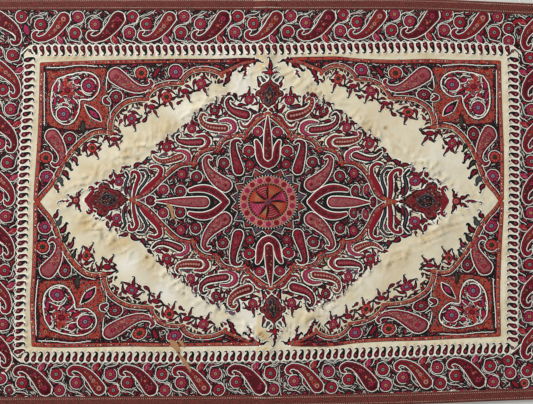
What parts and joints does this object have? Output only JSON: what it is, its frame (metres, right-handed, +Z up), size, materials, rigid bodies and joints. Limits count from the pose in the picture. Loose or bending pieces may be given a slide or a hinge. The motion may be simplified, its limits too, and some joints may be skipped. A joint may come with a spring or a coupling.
{
  "type": "embroidered textile cover",
  "caption": "Rectangular cotton cover, densely embroidered with a lobed medallion, corner fields and a paisley border, edged with woven tape, laid flat.",
  "frame": {"origin": "on the surface the cover lies on, below the middle of its own box", "axes": "+Z up out of the embroidered face, +X along the long side towards its right end, +Y along the short side towards its top"},
  "size_m": [1.49, 1.0244, 0.0085],
  "materials": {
    "cloth": "cream cotton with dense silk embroidery",
    "tape": "brown-red woven cotton tape"
  },
  "bodies": {
    "root": {"ground_cloth": "cloth", "edge_tape_top": "tape", "edge_tape_bottom": "tape", "edge_tape_left": "tape", "edge_tape_right": "tape"}
  },
  "joints": []
}
